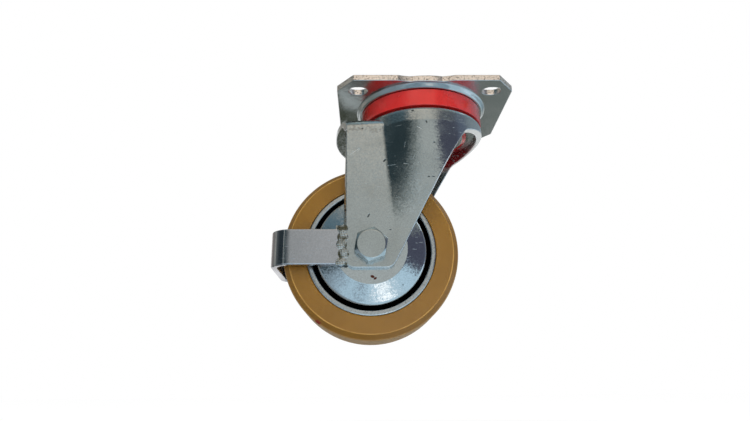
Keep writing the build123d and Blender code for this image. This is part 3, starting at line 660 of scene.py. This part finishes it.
def hexagon_turned(rows, across, turn, steps, side):
    """Turn rows of (radius, share of hexagon, height, drop) about the axle: a row's reach runs from its
    circle to the hexagon by its share, and a drop of 1 lets its height fall along the chamfer."""
    angle = np.arange(steps) * (2 * np.pi / steps)
    radius, share, height, drop = (column[None, :] for column in np.array(rows, float).T)
    hexagon = hexagon_reach(angle - turn, across)[:, None]
    reach = radius + share * (hexagon - radius)
    height = height - drop * np.clip(reach - FACE_SHARE * across, 0, None) * math.tan(CHAMFER)
    places = [reach * np.cos(angle)[:, None], side * height, reach * np.sin(angle)[:, None]]
    return np.stack(places, -1) + AXLE


class CASTOR_OT_bolt(bpy.types.Operator):
    """Shape the axle bolt and its lock nut"""

    bl_idname = "castor.bolt"
    bl_label = "Axle bolt"

    def execute(self, context):
        sizes = context.scene.castor_sizes
        across, head, pitch = (value / MM for value in (sizes.hexagon, sizes.head, sizes.pitch))
        shank, end, steps = 5.0, BOLT_MIDDLE[1] + BOLT_HALF[1], 2 * sizes.steps
        shank_end = end - 4.0
        flat, top, seat = FACE_SHARE * across, LEG_OUT + head, LEG_OUT
        # the head's face, 0.02 mm hollow inside its rim
        rows = [(reach, 0, top - 0.02, 0) for reach in (0.001, 3.0, 5.0, flat - 1.9, flat - 1.7)]
        rows += [(flat - 1.2, 0, top - 0.01, 0), (flat - 1.0, 0, top, 0)]
        rows += [(flat - 0.7, 0, top, 0), (flat - 0.15, 0, top, 0), (flat, 0.02, top - 0.03, 1)]
        # the chamfered corners and the hexagon's sides
        rows += [(flat, share, top - 0.05, 1) for share in (0.25, 0.5, 0.75, 0.93)]
        rows += [(flat, 1, top - 0.12, 1), (flat, 1, top - 0.4, 1), (flat, 1, seat + 0.8, 0)]
        # the round face under the head, then the shank, which covers the thread as far as the shank's end
        rows += [(flat, 1, seat + 0.5, 0), (flat, 0.9, seat + 0.35, 0), (flat - 0.1, 0, seat + 0.3, 0)]
        rows += [(flat - 0.2, 0, seat + 0.02, 0), (shank, 0, seat, 0), (shank, 0, -shank_end, 0)]
        cap = hexagon_turned(rows, across, sizes.bolt_turn, steps, -1)

        # the thread starts over a run-in, and its tip narrows to a blunt end
        thread_from, along, run_in, depth, tip, blunt = 20.0, 0.16, 2, 0.85, 1.2, 0.78
        reach_y = np.arange(thread_from, end - 0.2, along)[None, :]
        angle = np.arange(steps)[:, None] * (2 * np.pi / steps)
        turns = reach_y / pitch + angle / (2 * np.pi)
        groove = np.abs(2 * (turns - np.floor(turns)) - 1)
        taper = np.clip((end - reach_y) / tip, blunt, 1)
        start = np.clip((reach_y - thread_from) / run_in, 0, 1)
        radius = (shank - depth * start * groove) * taper
        height = np.broadcast_to(reach_y, radius.shape)
        thread = np.stack([radius * np.cos(angle), height, radius * np.sin(angle)], -1) + AXLE
        point = np.broadcast_to(AXLE + np.array([0, end, 0]), (steps, 1, 3))
        bolt = np.concatenate([cap, thread, point], 1)
        make_piece("axle_bolt_m10", [(bolt, True, False)], "fork", "zinc_plated_bolt",
                   ["axle_bolt"])

        seat, tall, collar, bore = NUT_MIDDLE[1] - NUT_HALF[1], 7.6, 7.9, 5.02
        # the nut's seat, its hexagon and its chamfer, as heights over the seat
        rows = [(bore, 0, 0.6, 0), (5.5, 0, 0, 0), (flat - 0.3, 0, 0, 0), (flat, 0.5, 0.12, 0)]
        rows += [(flat, 1, 0.5, 0), (flat, 1, 0.8, 0), (flat, 1, tall - 0.4, 1), (flat, 1, tall - 0.1, 1)]
        rows += [(flat, 0.6, tall, 1), (flat, 0.2, tall, 1), (flat - 0.1, 0, tall, 0)]
        # the round collar, rolled in over the groove of the locking ring
        rows += [(collar + 0.3, 0, tall + 0.05, 0), (collar, 0, tall + 0.4, 0), (collar, 0, 9.0, 0)]
        rows += [(collar - 0.25, 0, 9.5, 0), (collar - 0.8, 0, 9.9, 0), (collar - 1.4, 0, 10, 0)]
        rows += [(6.1, 0, 9.95, 0), (6.0, 0, 9.68, 0), (7.02, 0, 9.66, 0), (7.02, 0, tall, 0)]
        rows += [(bore, 0, tall - 0.02, 0)]
        rows = [(radius, share, seat + height, drop) for radius, share, height, drop in rows]
        nut = hexagon_turned(rows, across, sizes.bolt_turn + 0.6, steps, 1)
        make_piece("lock_nut_m10", [(nut, True, True)], "fork", "zinc_plated_bolt", ["axle_nut"])
        return {"FINISHED"}


# --- foot guard ---------------------------------------------------------------------------
def guard_path(out, rear_x, end_x, bend, step=1.0):
    """Loop seen from above: near arm, bend, back, bend, far arm, with the outward normal at each point."""
    arm = np.arange(end_x, rear_x + bend, -step)
    turn = np.linspace(0, np.pi / 2, 25)
    near = np.stack([arm, np.full_like(arm, -out)], 1)
    curve = np.stack([rear_x + bend - bend * np.sin(turn), -out + bend - bend * np.cos(turn)], 1)
    across = np.linspace(-out + bend, 0, 20)[1:]
    back = np.stack([np.full_like(across, rear_x), across], 1)
    half = np.vstack([near, curve, back])
    whole = np.vstack([half, (half * [1, -1])[-2::-1]])
    ahead = np.gradient(whole, axis=0)
    ahead /= np.linalg.norm(ahead, axis=1, keepdims=True)
    return whole, np.stack([ahead[:, 1], -ahead[:, 0]], 1)


class CASTOR_OT_guard(bpy.types.Operator):
    """Bend the guard's bar and lay the welds that hold it"""

    bl_idname = "castor.guard"
    bl_label = "Foot guard"

    def execute(self, context):
        sizes = context.scene.castor_sizes
        sheet, edge, bend = (value / MM for value in (sizes.sheet, sizes.edge, sizes.bar_bend))
        half_t, half_h = sheet / 2, BAR_HALF[2]
        rear = BAR_MIDDLE[0] - BAR_HALF[0] + half_t
        path, out = guard_path(LEG_OUT - half_t, rear, BAR_END_X, bend - half_t)
        corners = [(-half_t, -half_h), (half_t, -half_h), (half_t, half_h), (-half_t, half_h)]
        section = rounded_loop(corners, edge, 4)
        # each end closes in a quarter round of the edge's radius, then on the bar's middle line
        inset = np.zeros(len(path))
        inset[[0, -1]] = edge
        path[[1, -2]] = path[[0, -1]] - np.array([edge, 0])
        narrow = np.clip(np.abs(section), None, [half_t, half_h]) - inset[:, None, None]
        section = np.sign(section) * np.clip(narrow, 0, None)
        flat = path[:, None] + out[:, None] * section[:, :, :1]
        bar = np.concatenate([flat, section[:, :, 1:] + BAR_MIDDLE[2]], -1)
        ends = [np.broadcast_to(bar[i].mean(0), bar[i].shape)[None] for i in (0, -1)]
        bar = np.concatenate([ends[0], bar, ends[1]])
        make_piece("guard_bar", [(bar, False, True)], "fork", "zinc_plated_bar", ["foot_guard"])
        for name, side, seed in (("near", -1, 3), ("far", 1, 8)):
            weld = weld_bead(side, seed)
            make_piece(f"weld_{name}", weld, "fork", "plated_weld", [f"guard_weld_{name}"])
        return {"FINISHED"}


def weld_bead(side, seed):
    """Hand-laid weld: at each point the highest of a short row of large round lumps, with three faint
    crossing waves 0.8 to 1.6 mm long, on a patch whose rim sinks into the steel."""
    chance = np.random.default_rng(seed)
    middle, half = size_of("guard_weld_near")
    count, sunk, end = 5, 0.4, 1.6
    top = 2 * half[1] - 3.5 * sunk
    along = np.linspace(half[2] - end, end - half[2], count) + chance.uniform(-0.6, 0.6, count)
    across = chance.uniform(-0.9, 0.9, count)
    radius = chance.uniform(2.6, 3.6, count)
    rise = chance.uniform(0.75, 1.0, count) * top
    u = np.linspace(-half[0], half[0], 110)[:, None] + np.zeros(300)
    v = np.linspace(-half[2], half[2], 300) + np.zeros((110, 1))
    apart = ((u[..., None] - across) ** 2 + (v[..., None] - along) ** 2) / radius ** 2
    lumps = (rise * np.sqrt(np.clip(1 - apart, 0, None))).max(-1)
    turn = chance.uniform(0, 6, 3)
    rough = (np.sin(3.1 * u + 2.3 * v + turn[0]) * np.sin(2.7 * v - 3.3 * u + turn[1])
             + 0.6 * np.sin(6.3 * v + 4.1 * u + turn[2]))
    high = lumps * (1 + 0.06 * rough) + 0.05 * rough * (lumps > 0)
    rim = np.maximum(np.abs(u) / half[0], np.abs(v) / half[2])
    high = np.where(rim > 0.999, -sunk, np.clip(high - 0.05, -sunk, top))
    face = np.stack([middle[0] + u, side * (LEG_OUT + high), middle[2] + v], -1)
    back = np.stack([middle[0] + u, np.full_like(u, side * (LEG_OUT - sunk)), middle[2] + v], -1)
    return [(face, False, False), (back, False, False)]


# --- swivel head --------------------------------------------------------------------------
class CASTOR_OT_seals(bpy.types.Operator):
    """Turn the moulded seal between plate and crown"""

    bl_idname = "castor.seals"
    bl_label = "Seals"

    def execute(self, context):
        radius, top, foot = SEAL_HALF[0], SEAL_MIDDLE[2] + SEAL_HALF[2], SEAL_MIDDLE[2] - SEAL_HALF[2]
        wall, lip_out, lip_in = 1.2, 34.9, 33.9
        skirt, web = foot + 0.4, foot + 0.9
        outline = [(radius - wall, top), (radius, top), (radius, skirt), (lip_out, skirt), (lip_out, foot),
                   (lip_in, foot), (lip_in, web), (radius - wall, web)]
        ring = rounded_loop(outline, [0.3, 0.5, 0.45, 0.15, 0.15, 0.15, 0.3, 0.3], 5)
        swept = turned(ring, context.scene.castor_sizes.steps, np.zeros(3))
        make_piece("seal_ring", [(swept, True, True)], "fork", "moulded_red", ["swivel_seal"])
        return {"FINISHED"}


# --- camera, lights and floor --------------------------------------------------------------
def camera_matrix(studio):
    """Camera placed by yaw from +Y, upward pitch and roll about the line of sight."""
    yaw, pitch, roll = studio.yaw, studio.pitch, studio.roll
    ahead = Vector((math.sin(yaw) * math.cos(pitch), math.cos(yaw) * math.cos(pitch), math.sin(pitch)))
    level = Vector((math.cos(yaw), -math.sin(yaw), 0))
    upright = level.cross(ahead)
    right = math.cos(roll) * level + math.sin(roll) * upright
    up = math.cos(roll) * upright - math.sin(roll) * level
    turned_view = Matrix((right, up, -ahead)).transposed().to_4x4()
    return Matrix.Translation(studio.place) @ turned_view


LAMPS = (
    # name, place in metres, size across in metres, power in watts
    ("lamp_front", (-0.35, -0.75, 0.35), 0.5, 3.0),
    ("lamp_right", (0.55, -0.45, 0.25), 0.4, 1.5),
    ("lamp_low", (0.02, -0.50, -0.10), 0.25, 1.2),
)

WALLS = "#6b706e"
# what stands round the castor in the studio, far things first: what it is, its colour, the bearing of its
# middle and its half width, the height of its middle and its half height, and how softly its sides and its
# ends fade, all in degrees; bearing 0 is in front, 90 is on +X and 180 is behind
STUDIO = (
    ("bench top", "#a2b8c5", 50, 90, -46, 44, 15, 7),
    ("bench side", "#76828c", -55, 25, -40, 38, 15, 8),
    ("dark carpet", "#33362c", -150, 40, -50, 31, 12, 5),
    ("hallway", "#8c857e", -130, 20, 12, 16, 12, 6),
    ("grey door", "#76828c", 125, 35, 12, 16, 10, 6),
    ("dark curtain", "#222e32", -50, 31, 12, 18, 9, 5),
    ("curtain top", "#4a5f69", -45, 25, 38, 10, 12, 6),
    ("linen wall", "#989b99", 8, 16, 12, 18, 5, 5),
    ("pale cornice", "#b9b2a8", 0, 28, 38, 12, 8, 7),
    ("dusk curtain", "#3f414e", 44, 21, 12, 17, 4, 5),
    ("blue curtain", "#525a6a", 76, 14, 12, 19, 4, 6),
    ("window", "#dceaf4", 95, 25, 42, 9, 10, 4),
    ("low window", "#c9dcec", 92, 22, -9, 5, 10, 3),
    ("bench gap", "#76828c", -10, 5, -25, 5, 4, 3),
    ("soft box", "#ffffff", 12, 8, -24, 7, 4, 3),
    ("ceiling", "#8c9796", 0, 180, 84, 12, 1, 8),
)


def looking(tree):
    """East, north and height of the direction in which the world is seen."""
    return node(tree, "SeparateXYZ", (node(tree, "TexCoord").outputs["Generated"],)).outputs


def studio_room(tree):
    """Colour of the studio by direction: plain walls, and over them, in order, each thing as a rectangle in
    bearing and height with soft sides."""
    east, north, up = looking(tree)
    front = node(tree, "Math", (north, -1.0))
    across = node(tree, "Math", (east, front), operation="ARCTAN2")
    way = node(tree, "CombineXYZ", (across, node(tree, "Math", (up,), operation="ARCSINE")))
    things = []
    for _, shade, *degrees in STUDIO:
        bearing, wide, height, high, soft_side, soft_end = (math.radians(value) for value in degrees)
        off = node(tree, "VectorMath", (way, (bearing, height, 0)), operation="SUBTRACT")
        off = node(tree, "VectorMath", (off, (math.pi,) * 3, (-math.pi,) * 3), operation="WRAP")
        off = node(tree, "VectorMath", (off,), operation="ABSOLUTE")
        outer, inner = (wide + soft_side, high + soft_end, 1), (wide - soft_side, high - soft_end, 0)
        within = node(tree, "MapRange", (off, outer, inner), data_type="FLOAT_VECTOR")
        sides = node(tree, "SeparateXYZ", (within,)).outputs
        things.append((node(tree, "Math", (sides["X"], sides["Y"])), linear(shade)))
    return coated(tree, linear(WALLS), things)


def backdrop_share(tree):
    """Share of the white backdrop by direction: it fills the view behind the castor, on +Y, and fades out
    from 15 to 20 degrees below level."""
    _, north, up = looking(tree)
    behind = node(tree, "MapRange", (north, 0.76, 0.88))
    above = node(tree, "MapRange", (up, -0.34, -0.26))
    return node(tree, "Math", (behind, above))


class CASTOR_OT_stage(bpy.types.Operator):
    """Set the camera, the lights, the world and the floor"""

    bl_idname = "castor.stage"
    bl_label = "Stage"

    def execute(self, context):
        studio = context.scene.castor_studio
        lens = bpy.data.cameras.new("camera")
        lens.sensor_width = 36
        lens.lens = studio.lens
        lens.clip_start = 1 * MM
        camera = add_object("camera", lens)
        camera.matrix_world = camera_matrix(studio)
        context.scene.camera = camera

        world = bpy.data.worlds.new("studio")
        context.scene.world = world
        world.use_nodes = True
        tree = world.node_tree
        tree.nodes.clear()
        rays = node(tree, "LightPath").outputs
        seen, glossy, clear = (rays[f"Is {ray} Ray"] for ray in ("Camera", "Glossy", "Transmission"))
        plain = node(tree, "Background", ((1, 1, 1, 1), studio.fill_light))
        room = node(tree, "Background", (studio_room(tree), studio.room_light))
        white = node(tree, "Background", ((1, 1, 1, 1), 1.0))
        # white fills the camera's view and clear things, and in metal the backdrop's share
        backed = node(tree, "Math", (backdrop_share(tree), 1 - studio.room_in_metal), operation="MAXIMUM")
        mirrored = node(tree, "Math", (glossy, backed))
        through = node(tree, "Math", (seen, clear), operation="MAXIMUM")
        through = node(tree, "Math", (through, mirrored), operation="MAXIMUM")
        lit = node(tree, "MixShader", (glossy, plain, room))
        node(tree, "OutputWorld", {"Surface": node(tree, "MixShader", (through, lit, white))})
        for name, place, size, power in LAMPS:
            light = bpy.data.lights.new(name, "AREA")
            light.shape = "DISK"
            light.size = size
            light.energy = power
            lamp = add_object(name, light)
            lamp.location = place
            aim = Vector(AXLE * MM) - lamp.location
            lamp.rotation_euler = aim.to_track_quat("-Z", "Y").to_euler()
            lamp.visible_glossy = False
            lamp.visible_camera = False
        mesh = bpy.data.meshes.new("floor")
        wide, drop = 4.0, -studio.floor_drop
        corners = [(-wide, -wide, drop), (wide, -wide, drop), (wide, wide, drop), (-wide, wide, drop)]
        mesh.from_pydata(corners, [], [(0, 1, 2, 3)])
        mesh.materials.append(finish("painted_floor"))
        floor = add_object("floor", mesh)
        floor.visible_glossy = False
        context.scene.view_settings.view_transform = "Standard"
        return {"FINISHED"}


class CASTOR_OT_finishes(bpy.types.Operator):
    """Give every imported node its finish"""

    bl_idname = "castor.finishes"
    bl_label = "Finishes"

    def execute(self, context):
        for name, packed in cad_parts.items():
            for start, coat in NODE_FINISHES.items():
                if name.startswith(start):
                    packed.data.materials.clear()
                    packed.data.materials.append(finish(coat))
        return {"FINISHED"}


class CASTOR_PT_panel(bpy.types.Panel):
    """Settings and steps of the castor"""

    bl_idname = "CASTOR_PT_panel"
    bl_label = "Swivel castor"
    bl_space_type = "VIEW_3D"
    bl_region_type = "UI"
    bl_category = "Castor"

    def draw(self, context):
        for settings in ("castor_sizes", "castor_colours", "castor_studio"):
            group = getattr(context.scene, settings)
            box = self.layout.box()
            for name in group.__annotations__:
                box.prop(group, name)
        for step in STEPS:
            self.layout.operator(step.bl_idname)


# operators in the order in which they run
STEPS = (CASTOR_OT_stage, CASTOR_OT_finishes, CASTOR_OT_wheel, CASTOR_OT_covers, CASTOR_OT_bolt,
         CASTOR_OT_guard, CASTOR_OT_seals)
CLASSES = (CastorSizes, CastorColours, CastorStudio, *STEPS, CASTOR_PT_panel)


def register():
    """Add the settings and operators."""
    for cls in CLASSES:
        bpy.utils.register_class(cls)
    bpy.types.Scene.castor_sizes = PointerProperty(type=CastorSizes)
    bpy.types.Scene.castor_colours = PointerProperty(type=CastorColours)
    bpy.types.Scene.castor_studio = PointerProperty(type=CastorStudio)


def unregister():
    """Take the settings and operators away again."""
    del bpy.types.Scene.castor_studio
    del bpy.types.Scene.castor_colours
    del bpy.types.Scene.castor_sizes
    for cls in reversed(CLASSES):
        bpy.utils.unregister_class(cls)


def main():
    """Build everything in order."""
    register()
    bpy.ops.castor.stage()
    bpy.ops.castor.finishes()
    bpy.ops.castor.wheel()
    bpy.ops.castor.covers()
    bpy.ops.castor.bolt()
    bpy.ops.castor.guard()
    bpy.ops.castor.seals()


if __name__ == "__main__":
    main()
